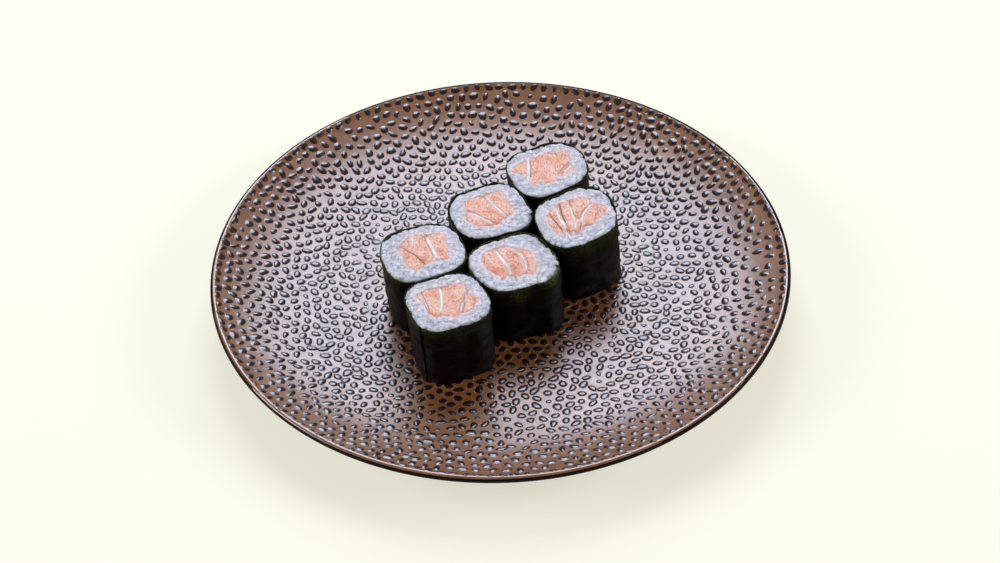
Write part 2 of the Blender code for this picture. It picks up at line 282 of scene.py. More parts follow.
def dot_domes(centres):
    """Pills over ovals in the plate's top, unrolled along its rise. An oval has one side fuller and its length
    bent into an arc, and each ring inside it lies the same distance in all the way round. The height falls
    with a power of the way out, down to the foot: 2.2 on the level, where a pill is flat on top, and 1.5 on the
    rise, where it is taller and more like a tent. A flat skirt from there dips under the brown glaze. What
    would run onto the lip is pushed back."""
    shape = (len(centres), 1, 1)
    size = np.where(rng.random(shape) < 0.03, 0.65, rng.normal(1, 0.04, shape))
    length = np.clip(rng.normal(1.88, 0.2, shape), 1.5, 2.25) * MM * size
    width = np.clip(rng.normal(1.36, 0.13, shape), 1.08, 1.62) * MM * size
    tear, bean = rng.normal(0, 0.16, shape), rng.normal(0, 0.05, shape) / MM
    heading = rng.uniform(0, 2 * math.pi, shape)
    round_ = np.linspace(0, 2 * math.pi, DOT_COLUMNS, endpoint=False)[None, None]
    inset = width * (1 - DOT_RINGS)
    risen = np.clip((np.hypot(*centres.T).reshape(shape) / dot_field - 0.55) / 0.3, 0, 1)
    dome = np.clip(1 - DOT_RINGS ** (2.2 - 0.7 * risen), 0, 1) * DOT_HEIGHT * (1 + 0.4 * risen) * size
    height = dome + np.array([0, 0, 0, 0.02, -0.02])[None, :, None] * MM
    along = (length - inset) * np.cos(round_)
    across = (width - inset) * np.sin(round_) * (1 + tear * along / length) + bean * (along**2 - length**2 / 3)
    x = centres[:, 0].reshape(shape) + along * np.cos(heading) - across * np.sin(heading)
    y = centres[:, 1].reshape(shape) + along * np.sin(heading) + across * np.cos(heading)
    radius = np.hypot(x, y)
    kept = np.minimum(np.interp(radius, UNROLLED, UNROLLED_R), DOT_REACH)
    return np.stack([x * kept / radius, y * kept / radius, glaze_level(kept) + height], axis=-1), DOT_RINGS + 0 * x


def black_glaze():
    """Thick iron-black glaze: glossy like wet tar, and light brown in a narrow ring round the foot of a drop. It
    shines as hard as the brown one."""
    material, place = new_material("glossy black drop glaze")
    out = add(material, "ShaderNodeAttribute", {}, give="Fac", attribute_name="edge")
    # thin marks the ring round the foot of each drop, which is coloured a lighter brown.
    thin = add(material, "ShaderNodeMapRange", {"Value": out, "From Min": 0.98, "From Max": 1.05})
    tones = {"Factor": thin, "A": paint("#2B0A03"), "B": paint("#BE9468")}
    colour = add(material, "ShaderNodeMix", tones, data_type="RGBA")
    grain = add(material, "ShaderNodeTexNoise", {"Vector": place, "Scale": 0.5 / (1.5 * MM)})
    rough = add(material, "ShaderNodeMapRange", {"Value": grain, "To Min": 0.3, "To Max": 0.42})
    finish = {
        "Base Color": colour, "Roughness": rough, "IOR": 1.58,
        "Coat Weight": 1.0, "Coat Roughness": 0.18, "Coat IOR": 1.75, "Coat Tint": (1.0, 0.93, 0.93, 1),
    }
    add(material, "ShaderNodeOutputMaterial", {"Surface": add(material, "ShaderNodeBsdfPrincipled", finish)})
    return material


dot_field = np.interp(DOT_FIELD, UNROLLED_R, UNROLLED)
start_r = (dot_field - 3.5 * MM) * np.sqrt(rng.random(DOT_COUNT))
start_turn = rng.uniform(0, 2 * math.pi, DOT_COUNT)
start_r[:RIM_DOTS] = dot_field
start_turn[:RIM_DOTS] = np.linspace(0, 2 * math.pi, RIM_DOTS, endpoint=False)
started = np.stack([start_r * np.cos(start_turn), start_r * np.sin(start_turn)], axis=1)
strewn = spread(started, DOT_SPACING, 100, hold_on_plate) + rng.normal(0, 0.22, (DOT_COUNT, 2)) * MM
domes, dome_edge = dot_domes(strewn)
dots = shells("glaze_dots", domes, black_glaze(), edge=dome_edge)
lay(dots, "glaze")


# NORI. A half sheet of roasted seaweed goes once round each piece, and its last stretch, wetted, sticks
# over its beginning. It is paper-thin, near black, papery with fibres, and puckers upright as it shrinks
# on the moist rice. A thin upright section is carried along the wrap.
NAMES = ["front", "left", "middle", "inner", "right", "far"]
FLAP = {"front": 205, "left": 120, "middle": 320, "inner": 150, "right": 20, "far": 80}
WRAP = math.radians(360 + 26)
NORI = 0.3 * MM
NORI_OUTSET = 0.7 * MM  # from the rice's outline in the frame to the outer face of the nori
EDGE_DROP = 0.42 * MM  # on the diner's side, where the knife has dragged the rice over it; hardly any behind
# How strongly each piece's nori is painted olive green near its top edge: a painted glow of light coming through the
# thin sheet.
TOP_GLOW = {"front": 0.4, "left": 0.45, "middle": 1.0, "inner": 0.2, "right": 0.4, "far": 0.4}


def corner_points(node):
    """A frame node's mesh as an array of triangles, corners and x, y, z."""
    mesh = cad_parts[node].data
    corners = np.zeros(len(mesh.polygons) * 3, np.int32)
    mesh.polygons.foreach_get("vertices", corners)
    points = np.zeros(len(mesh.vertices) * 3, np.float32)
    mesh.vertices.foreach_get("co", points)
    return points.reshape(-1, 3)[corners].reshape(-1, 3, 3).astype(float)


class Outline:
    """The outline of a piece's rice in the frame, at any height and direction.

    The frame has it at two heights, as points round a middle. Each height's radius is a mean with waves that
    run twice, three and four times round, found by least squares, and heights between are in proportion."""

    def __init__(self, name):
        self.name = name
        points = np.unique(np.round(corner_points(f"rice_{name}").reshape(-1, 3), 6), axis=0)
        self.foot, self.top = points[:, 2].min(), points[:, 2].max()
        levels = np.round(points[:, 2], 5)
        inside = np.unique(levels[(levels > self.foot + 0.1 * MM) & (levels < self.top - 0.1 * MM)])
        self.levels = inside[0], inside[-1]
        rings = [points[levels == level, :2] for level in self.levels]
        self.middles = np.array([ring.mean(axis=0) for ring in rings])
        self.waves = np.array([self.fitted(ring - middle) for ring, middle in zip(rings, self.middles)])

    @staticmethod
    def basis(turns):
        counts = np.arange(5)
        angles = np.asarray(turns)[..., None] * counts
        return np.concatenate([np.cos(angles), np.sin(angles[..., 1:])], axis=-1)

    def fitted(self, ring):
        turns = np.arctan2(ring[:, 1], ring[:, 0])
        return np.linalg.lstsq(self.basis(turns), np.hypot(*ring.T), rcond=None)[0]

    def share(self, height):
        return (height - self.levels[0]) / (self.levels[1] - self.levels[0])

    def middle(self, height):
        """The middle of the piece at each height."""
        share = np.asarray(self.share(height))[..., None]
        return self.middles[0] * (1 - share) + self.middles[1] * share

    def radius(self, turns, height):
        """The rice's radius in each direction at each height."""
        low, high = (self.basis(turns) @ waves for waves in self.waves)
        share = self.share(height)
        return low * (1 - share) + high * share

    def at(self, turns, height, outset):
        """Points on the outline, moved outwards, as x, y, z."""
        turns, height, outset = np.broadcast_arrays(turns, height, outset)
        out = (self.radius(turns, height) + outset)[..., None] * np.stack([np.cos(turns), np.sin(turns)], axis=-1)
        return np.concatenate([self.middle(height) + out, height[..., None]], axis=-1)


def ripple(places, wavelength, seed, count=14):
    """Smooth unevenness, mostly between -1 and 1: sine waves of about one wavelength, running in random
    directions over the last axis of places, added up."""
    own = np.random.default_rng(seed)
    ways = own.normal(size=(count, places.shape[-1]))
    ways *= (2 * math.pi / wavelength * own.uniform(0.7, 1.5, count) / np.linalg.norm(ways, axis=1))[:, None]
    return np.sin(places @ ways.T + own.uniform(0, 2 * math.pi, count)).sum(axis=-1) / math.sqrt(count)


def wrapped_sheet(outline, flap, seed):
    """The nori as rows along the wrap, each a thin upright loop: up the outer face and down the inner one.

    Upright puckers, level creases and slow dents push both faces in and out together, and the last stretch
    climbs over the first."""
    along = np.linspace(0, 1, 260)[:, None]
    turns = math.radians(flap) + WRAP * along
    climb = np.clip((along * WRAP - (2 * math.pi - 0.35)) / 0.35, 0, 1)
    lift = climb**2 * (3 - 2 * climb) * 0.5 * MM
    heights = np.linspace(0, 1, 32)
    up = np.concatenate([heights, [1.0], heights[::-1], [0.0]])[None]
    face = np.concatenate([np.ones(32), [0.5], np.zeros(32), [0.5]])[None]
    arc = along * WRAP * 15 * MM
    flat = np.stack(np.broadcast_arrays(arc, up * 26 * MM), axis=-1)
    pucker = ripple(flat * np.array([1.0, 0.2]), 3.4 * MM, seed)
    dent = ripple(flat, 8 * MM, seed + 1)
    crease = ripple(flat * np.array([0.3, 1.0]), 3.5 * MM, seed + 2)
    push = 0.035 * MM * pucker + 0.17 * MM * dent + 0.07 * MM * crease
    ragged = 0.10 * MM * ripple(np.stack([arc, 0 * arc], axis=-1), 1.8 * MM, seed + 3)
    top = outline.top - EDGE_DROP * (0.5 - 0.5 * np.sin(turns)) + ragged
    height = outline.foot + (top - outline.foot) * up + 0.06 * MM * np.where(face == 0.5, np.sign(up - 0.5), 0)
    outset = NORI_OUTSET - NORI + face * NORI + lift + push
    return outline.at(turns, height, outset), up + 0 * along


def roasted_nori():
    """Roasted laver: near black with a green cast, brown where it is worn, its paper-like web of fibres pressed flat.
    Level patches of a lighter grey-blue on it are painted sheen. Near its top edge it is painted olive green in
    patches, as much as each piece's share: a painted glow of light coming through the thin sheet."""
    material, place = new_material("roasted nori")
    squeezed = add(material, "ShaderNodeMapping", {"Vector": place, "Scale": (1, 1, 0.5)})
    web = add(material, "ShaderNodeTexNoise", {"Vector": place, "Scale": 0.5 / (0.35 * MM), "Detail": 4})
    patch = add(material, "ShaderNodeTexNoise", {"Vector": squeezed, "Scale": 0.5 / (4 * MM), "Detail": 3})
    fibre = add(material, "ShaderNodeMapRange", {"Value": web, "From Min": 0.35, "From Max": 0.7})
    tones = {"Factor": fibre, "A": paint("#020202"), "B": paint("#070605")}
    colour = add(material, "ShaderNodeMix", tones, data_type="RGBA")
    worn = add(material, "ShaderNodeMapRange", {"Value": patch, "From Min": 0.52, "From Max": 0.72})
    colour = add(material, "ShaderNodeMix", {"Factor": worn, "A": colour, "B": paint("#160C0A")}, data_type="RGBA")
    # Painted sheen: level, stretched patches of a lighter grey-blue stand in for faint glints of reflected light on
    # the nori.
    level = add(material, "ShaderNodeMapping", {"Vector": place, "Scale": (0.35, 0.35, 1)})
    sheen_noise = add(material, "ShaderNodeTexNoise", {"Vector": level, "Scale": 0.5 / (1.6 * MM), "Detail": 4})
    painted_sheen = add(material, "ShaderNodeMapRange", {"Value": sheen_noise, "From Min": 0.54, "From Max": 0.7})
    tones = {"Factor": painted_sheen, "A": colour, "B": paint("#1E2023")}
    colour = add(material, "ShaderNodeMix", tones, data_type="RGBA")
    # Painted glow of light through the thin sheet: olive green towards the top edge, in patches along the fibres, as
    # strong as each piece's share.
    up = add(material, "ShaderNodeAttribute", {}, give="Fac", attribute_name="up")
    wet = add(material, "ShaderNodeTexNoise", {"Vector": place, "Scale": 0.5 / (4 * MM), "Detail": 2})
    dips = {"Value": wet, "From Min": 0.35, "From Max": 0.65, "To Min": 0.95, "To Max": 0.7}
    soaked = add(material, "ShaderNodeAttribute", {}, give="Fac", attribute_name="soaked")
    sockets = {"Value": up, "From Min": add(material, "ShaderNodeMapRange", dips), "From Max": 1.03, "To Max": soaked}
    sockets = {"Value": web, "From Min": 0.4, "From Max": 0.62, "To Max": add(material, "ShaderNodeMapRange", sockets)}
    olive = add(material, "ShaderNodeMapRange", sockets)
    colour = add(material, "ShaderNodeMix", {"Factor": olive, "A": colour, "B": paint("#5E6E12")}, data_type="RGBA")
    bump = add(material, "ShaderNodeBump", {"Height": web, "Distance": 0.08 * MM})
    bump = add(material, "ShaderNodeBump", {"Height": patch, "Distance": 0.25 * MM, "Normal": bump})
    rough = add(material, "ShaderNodeMapRange", {"Value": patch, "To Min": 0.28, "To Max": 0.6})
    finish = {"Base Color": colour, "Roughness": rough, "IOR": 1.26, "Normal": bump}
    add(material, "ShaderNodeOutputMaterial", {"Surface": add(material, "ShaderNodeBsdfPrincipled", finish)})
    return material


outlines = {name: Outline(name) for name in NAMES}
nori = roasted_nori()
for seed, name in enumerate(NAMES):
    sheet, sheet_up = wrapped_sheet(outlines[name], FLAP[name], 100 + 10 * seed)
    made = shells(f"nori_sheet_{name}", sheet[None], nori, up=sheet_up[None], soaked=np.array(TOP_GLOW[name]))
    lay(made, "nori", f"nori_{name}")


# RICE. Short-grain rice, steamed and seasoned, pressed round the salmon and sliced through. The cut faces
# show grains lying every way, packed into each other, moist and slightly clear. A plain core stands just
# inside, and real grains are laid on both of its cut faces and pared level by the knife.
CORE_DEPTH = 0.22 * MM
GRAIN_LENGTH = 2.4 * MM
GRAIN_WIDTH = 1.25 * MM
GRAINS = 130
GRAIN_SPACING = 2.35 * MM


def salmon_nodes(name):
    """The frame's strips of salmon in one piece, in order."""
    return sorted(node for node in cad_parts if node.startswith(f"salmon_{name}_"))


def top_edges(node):
    """The outline of a node's flat top, as an array of edges, ends and x, y: the edges that only one of the top's
    triangles has."""
    triangles = corner_points(node)
    top = triangles[np.all(triangles[..., 2] > triangles[..., 2].max() - 0.01 * MM, axis=1)]
    places, index = np.unique(np.round(top[..., :2].reshape(-1, 2), 6), axis=0, return_inverse=True)
    index = index.reshape(-1, 3)
    edges = np.concatenate([index[:, [0, 1]], index[:, [1, 2]], index[:, [2, 0]]])
    pairs, counts = np.unique(np.sort(edges, axis=1), axis=0, return_counts=True)
    return places[pairs[counts == 1]]


def filling_reach(name, turns):
    """How far the salmon reaches from the middle of the piece in each direction: the furthest crossing of a ray
    with the outlines of the strips."""
    edges = np.concatenate([top_edges(node) for node in salmon_nodes(name)])
    outline = outlines[name]
    start = edges[:, 0] - outline.middle(outline.top)
    step = edges[:, 1] - edges[:, 0]
    ray = np.stack([np.cos(turns), np.sin(turns)], axis=-1)[..., None, :]
    cross = ray[..., 0] * step[:, 1] - ray[..., 1] * step[:, 0]
    cross = np.where(np.abs(cross) < 1e-12, 1e-12, cross)
    reach = (start[:, 0] * step[:, 1] - start[:, 1] * step[:, 0]) / cross
    share = (start[:, 0] * ray[..., 1] - start[:, 1] * ray[..., 0]) / cross
    hit = (share >= 0) & (share <= 1) & (reach > 0)
    return np.where(hit, reach, 0).max(axis=-1)


AROUND = np.linspace(-math.pi, math.pi, 361)
filling_reaches = {name: filling_reach(name, AROUND) for name in NAMES}


def filling_radius(name, turns, level):
    """The salmon's reach at a level, read from its reach in even directions at the top of the piece."""
    outline = outlines[name]
    reach = np.interp(np.arctan2(np.sin(turns), np.cos(turns)), AROUND, filling_reaches[name])
    return reach * outline.radius(turns, level) / outline.radius(turns, outline.top)


def rice_core(name, seed):
    """A ring round the salmon: in each direction its section goes up the outer wall, over a slanting shoulder
    and a lumpy top, down the channel and back under."""
    outline = outlines[name]
    turns = np.linspace(0, 2 * math.pi, 120, endpoint=False)[:, None]
    low, high = outline.foot + CORE_DEPTH, outline.top - CORE_DEPTH
    wall, across = np.linspace(0, 1, 5), np.linspace(0, 1, 9)[1:]
    up = np.concatenate([wall, np.ones(8), 1 - wall[1:], np.zeros(7)])[None]
    inward = np.concatenate([np.zeros(5), across, np.ones(4), 1 - across[:-1]])[None]
    height = low + (high - low) * up
    far_side = np.clip(np.sin(turns), 0, 1)
    outer = outline.radius(turns, height) + (0.1 - 0.6 * far_side) * MM
    inner = filling_radius(name, turns, height) + 0.15 * MM
    lumps = 0.12 * MM * ripple(np.stack(np.broadcast_arrays(turns * 12 * MM, inward * 5 * MM), -1), 2.4 * MM, seed)
    height = height + lumps * np.where(up == 1, 1, 0) - lumps * np.where(up == 0, 1, 0)
    shoulder = (0.9 + 0.5 * far_side) * MM * np.clip(1 - inward * 4, 0, 1)
    height = np.where(up == 1, height - shoulder, height)
    out = (outer * (1 - inward) + inner * inward)[..., None] * np.stack([np.cos(turns), np.sin(turns)], -1)
    points = np.concatenate([outline.middle(height) + out, height[..., None]], axis=-1)
    return points[:, ::-1]


def grain_places(name, level, seed):
    """Plan points for grains, spread evenly over the ring of rice at a level, from the middle of the piece."""
    outline, own = outlines[name], np.random.default_rng(seed)

    def hold(points):
        """Keeps points between the salmon and the nori."""
        turns, radius = np.arctan2(points[:, 1], points[:, 0]), np.hypot(*points.T)
        low = filling_radius(name, turns, level) + 0.7 * MM
        high = outline.radius(turns, level) - 0.8 * MM
        kept = np.clip(radius, np.minimum(low, high), high)
        return points * (kept / radius)[:, None]

    turns = own.uniform(0, 2 * math.pi, GRAINS)
    radius = 12 * MM + own.uniform(-3, 2, GRAINS) * MM
    started = hold(np.stack([radius * np.cos(turns), radius * np.sin(turns)], axis=1))
    return spread(started, GRAIN_SPACING, 40, hold)


def grain_shells(name, places, level, facing, seed):
    """Grains as long ovals with blunt ends, turned and tilted every way round their places. What would reach
    into the nori or the salmon is pressed back, and what would stand past the cut is pared down to it with a
    slightly rounded edge. On the diner's side the knife has dragged them out over the nori. facing is 1 for a
    cut that looks up and -1 for one that looks down."""
    own = np.random.default_rng(seed)
    shape = (len(places), 1, 1)
    polar = np.linspace(0, math.pi, 7)[1:-1][None, :, None]
    round_ = np.linspace(0, 2 * math.pi, 8, endpoint=False)[None, None]
    length = GRAIN_LENGTH * own.uniform(0.85, 1.1, shape)
    width = GRAIN_WIDTH * own.uniform(0.9, 1.1, shape)
    girth = np.sin(polar) ** 0.8
    a = length * np.cos(polar) + 0 * round_
    b = width * girth * np.cos(round_)
    c = 0.86 * width * girth * np.sin(round_)
    tilt = own.normal(0, 0.45, shape)
    heading = own.uniform(0, math.pi, shape)
    forward, up = a * np.cos(tilt) - c * np.sin(tilt), a * np.sin(tilt) + c * np.cos(tilt)
    x = places[:, 0].reshape(shape) + forward * np.cos(heading) - b * np.sin(heading)
    y = places[:, 1].reshape(shape) + forward * np.sin(heading) + b * np.cos(heading)
    turns, radius = np.arctan2(y, x), np.hypot(x, y)
    over = up - own.uniform(0.45, 0.95, shape) * MM
    cut = own.normal(0.0, 0.025, shape) * MM
    pared = np.where(over > cut, cut + 0.05 * (over - cut), over)
    side = outlines[name].radius(turns, level)
    dragged = (0.5 - 0.5 * np.sin(turns)) * (facing == 1)
    notch = own.uniform(0, 1.1, shape) * np.clip(1.6 * np.sin(turns), 0, 1)
    high = side + (0.3 - notch) * MM + 0.32 * MM * np.clip(1 + pared / (0.4 * MM), 0, 1) * dragged
    filling = filling_radius(name, turns, level)
    pressed = np.clip(radius, np.minimum(filling - 0.4 * MM, high), high)
    rounding = 0.2 * MM * np.clip((pressed - side + 0.7 * MM) / (1.3 * MM), 0, 1) ** 2
    points = np.stack([x * pressed / radius, y * pressed / radius, facing * (pared - rounding)], axis=-1)
    points += np.append(outlines[name].middle(level), level)
    stained = np.clip(1 - (pressed - filling) / (3.2 * MM), 0, 1)
    return points[:, ::facing], own.random(shape) + 0 * x, stained[:, ::facing]


def steamed_rice():
    """Steamed short-grain rice: milky white with a cool cast, wet and slightly clear, each grain a little
    different, and stained pink by the salmon beside it. Light goes a millimetre deep, so that the hollows
    between the grains stay soft."""
    material, place = new_material("steamed rice")
    tone = add(material, "ShaderNodeAttribute", {}, give="Fac", attribute_name="tone")
    tones = {"Factor": tone, "A": paint("#B6B8C4"), "B": paint("#E3E2E8")}
    colour = add(material, "ShaderNodeMix", tones, data_type="RGBA")
    milk = add(material, "ShaderNodeTexNoise", {"Vector": place, "Scale": 0.5 / (0.8 * MM), "Detail": 3})
    milky = add(material, "ShaderNodeMapRange", {"Value": milk, "From Min": 0.35, "From Max": 0.7, "To Max": 0.6})
    colour = add(material, "ShaderNodeMix", {"Factor": milky, "A": colour, "B": paint("#F5F5F7")}, data_type="RGBA")
    clear = add(material, "ShaderNodeTexNoise", {"Vector": place, "Scale": 0.5 / (1.1 * MM), "Detail": 3})
    glassy = add(material, "ShaderNodeMapRange", {"Value": clear, "From Min": 0.5, "From Max": 0.68, "To Max": 0.6})
    colour = add(material, "ShaderNodeMix", {"Factor": glassy, "A": colour, "B": paint("#A2A5BC")}, data_type="RGBA")
    near = add(material, "ShaderNodeAttribute", {}, give="Fac", attribute_name="stained")
    pink = add(material, "ShaderNodeMapRange", {"Value": near, "To Max": 0.7})
    colour = add(material, "ShaderNodeMix", {"Factor": pink, "A": colour, "B": paint("#F9DFDF")}, data_type="RGBA")
    bump = add(material, "ShaderNodeBump", {"Height": milk, "Distance": 0.035 * MM})
    finish = {
        "Base Color": colour, "Roughness": 0.25, "IOR": 1.4, "Normal": bump,
        "Subsurface Weight": 1.0, "Subsurface Radius": (1.0, 1.0, 1.1), "Subsurface Scale": 0.5 * MM,
    }
    moist = add(material, "ShaderNodeBsdfPrincipled", finish, subsurface_method="BURLEY")
    add(material, "ShaderNodeOutputMaterial", {"Surface": moist})
    return material


rice = steamed_rice()
for seed, name in enumerate(NAMES):
    core = rice_core(name, 300 + seed)
    made = shells(f"rice_core_{name}", core[None], rice, rows_close=True, tone=np.array(0.25), stained=np.array(0.2))
    lay(made, "rice", f"rice_{name}")
grains, tones, stains = [], [], []
for seed, name in enumerate(NAMES):
    for facing, level in ((1, outlines[name].top), (-1, outlines[name].foot)):
        plan = grain_places(name, level, 400 + seed)
        made, tone, stained = grain_shells(name, plan, level, facing, 500 + 10 * seed + facing)
        grains.append(made)
        tones.append(tone)
        stains.append(stained)
marks = {"tone": np.concatenate(tones), "stained": np.concatenate(stains)}
lay(shells("rice_grains", np.concatenate(grains), rice, **marks), "rice")


# SALMON. Strips of raw salmon, cut along the fillet, lie side by side through the rice. Each cut face is smooth and
# wet, its muscle finely grained, with a rounded edge along its outline, and brown-red lines of painted shade lie in
# the grooves where the strips meet. Every strip in the frame is filled with a fine grid on its cut faces, and the grid
# is then shaped as a height.
SALMON_GRID = 0.25 * MM
EDGE_ROUND = 0.4 * MM
FAT_LINES = {
    "front": [
        (0.5, [(-9.3, 4.6), (-7.4, -1.6), (-7.0, -3.5)]),
        (1.3, [(-2.8, 7.5), (-2.3, 4.0), (-2.1, 0.0), (-2.1, -2.0), (-2.7, -5.5)]),
        (0.6, [(6.8, 3.5), (6.4, 0.5), (5.0, -2.0), (4.6, -6.0)]),
    ],
    "left": [
        (0.5, [(-8.0, 0.8), (-7.2, -1.6), (-6.5, -4.0)]),
        (1.2, [(-3.6, 8.5), (-3.6, 4.0)]),
        (1.6, [(1.5, 8.0), (2.8, 4.0), (3.8, 1.0), (4.8, -2.0), (5.4, -3.5)]),
    ],
    "middle": [
        (1.5, [(-6.3, 6.5), (-4.8, 3.0), (-2.9, -0.5), (-1.6, -3.0), (-1.0, -6.0)]),
        (0.8, [(-1.0, 8.3), (1.0, 5.5), (2.8, 3.0), (3.6, 1.0), (4.3, -1.5), (4.3, -4.5)]),
        (0.6, [(6.0, 8.0), (7.0, 4.0), (7.8, 1.5), (7.8, -0.5)]),
    ],
    "inner": [
        (0.9, [(-1.8, 8.4), (0.0, 5.2), (1.8, 2.2), (3.5, -0.3), (5.6, -2.6)]),
        (1.0, [(-7.9, -0.6), (-5.0, -2.3), (-2.4, -4.4), (0.6, -7.2)]),
        (0.7, [(5.3, 8.5), (5.3, 6.5)]),
        (0.7, [(7.8, 4.0), (8.0, 2.0)]),
    ],
    "right": [
        (1.7, [(-7.0, 4.5), (-6.3, 1.0), (-5.0, -3.0), (-4.0, -6.0)]),
        (0.8, [(-2.0, 6.5), (-1.3, 1.5), (-0.7, -2.5), (-0.3, -7.5)]),
        (0.9, [(6.0, 6.6), (4.2, 3.8), (2.6, 0.8), (1.9, -3.2)]),
    ],
    "far": [
        (1.3, [(-6.9, 6.8), (-6.7, 2.0), (-6.8, -4.0)]),
        (0.8, [(6.0, -2.0), (7.6, -0.6), (9.0, 1.0)]),
    ],
}
# Lines of painted shade on each piece's cut face, in the grooves where the strips meet, coloured brown-red.
GROOVE_SHADE = {
    "front": [[(-8.9, 4.0), (-7.0, -1.6), (-6.4, -3.8)], [(6.0, 4.0), (5.7, 0.6), (4.3, -2.2), (3.9, -6.0)]],
    "left": [[(-6.5, 1.8), (-3.0, -1.2), (0.5, -5.5)], [(0.6, 8.0), (1.9, 4.0), (2.9, 1.0), (3.9, -2.2)]],
    "middle": [[(3.3, 5.0), (4.6, 1.2), (5.2, -1.6), (5.4, -5.0)]],
    "inner": [[(-7.9, 0.3), (-4.8, -1.4), (-2.0, -3.6), (1.2, -6.6)]],
    "right": [
        [(-9.2, 0.6), (-7.3, -2.2), (-6.3, -5.2), (-4.3, -7.1)],
        [(-5.9, 6.5), (-5.2, 2.0), (-4.0, -2.2), (-2.9, -6.0), (-2.5, -10.2)],
        [(-1.5, 3.5), (0.8, -1.0), (2.5, 2.5), (6.0, 7.0)],
        [(7.0, -2.0), (7.0, 0.0), (8.0, 2.0), (9.5, 3.5), (10.5, 2.0)],
    ],
    "far": [[(-6.1, 6.5), (-5.9, 2.0), (-6.0, -4.0)], [(8.0, 3.0), (6.2, 0.2), (4.0, -3.0)]],
}
DEEP_SPOTS = {
    "front": [(-2.6, -8.0), (2.9, -7.9), (9.0, -2.0), (9.4, 0.8)],
    "left": [(0.8, -4.0), (6.5, 0.0), (9.0, -4.2), (-0.5, -8.4)],
    "middle": [(-6.5, -4.0), (1.0, -5.0), (-4.2, -8.6), (0.1, -7.8), (6.7, -6.6)],
    "inner": [(-1.0, -7.0), (2.0, -7.0), (6.5, -2.5)],
    "right": [(0.8, 0.2), (4.0, -4.0), (1.0, -8.0), (-2.4, -10.2)],
    "far": [(0.5, 5.5), (-11.3, -0.6), (-4.9, -9.2), (-0.4, -8.0)],
}


def smooth_path(corners, count):
    """A Catmull-Rom curve through the corners, as count points evenly spaced in its own parameter."""
    corners = np.array(corners, float)
    padded = np.concatenate([2 * corners[:1] - corners[1:2], corners, 2 * corners[-1:] - corners[-2:-1]])
    way = np.linspace(0, len(corners) - 1 - 1e-9, count)
    span = way.astype(int)
    t = (way - span)[:, None]
    p0, p1, p2, p3 = (padded[span + k] for k in range(4))
    swing = (p2 - p0) * t + (2 * p0 - 5 * p1 + 4 * p2 - p3) * t**2 + (3 * p1 - p0 - 3 * p2 + p3) * t**3
    return p1 + swing / 2


def distance_to(points, edges):
    """Each plan point's distance to the nearest of many straight edges."""
    start, step = edges[:, 0], edges[:, 1] - edges[:, 0]
    offset = points[:, None] - start
    share = np.clip((offset * step).sum(-1) / np.maximum((step**2).sum(-1), 1e-18), 0, 1)
    return np.linalg.norm(offset - share[..., None] * step, axis=-1).min(axis=1)


def closeness(points, lines, reach):
    """How near plan points are to any of the lines: 1 on a line, falling as a bell over the reach."""
    near = np.zeros(len(points))
    for line in lines:
        path = smooth_path(line, 24)
        edges = np.stack([path[:-1], path[1:]], axis=1)
        near = np.maximum(near, np.exp(-((distance_to(points, edges) / reach) ** 2)))
    return near


def salmon_height(local, seed):
    """Height of a cut face of salmon over plan places in millimetres: slow swells and a fine grain."""
    return MM * (0.16 * ripple(local, 7.0, seed) + 0.045 * ripple(local, 1.5, seed + 1))


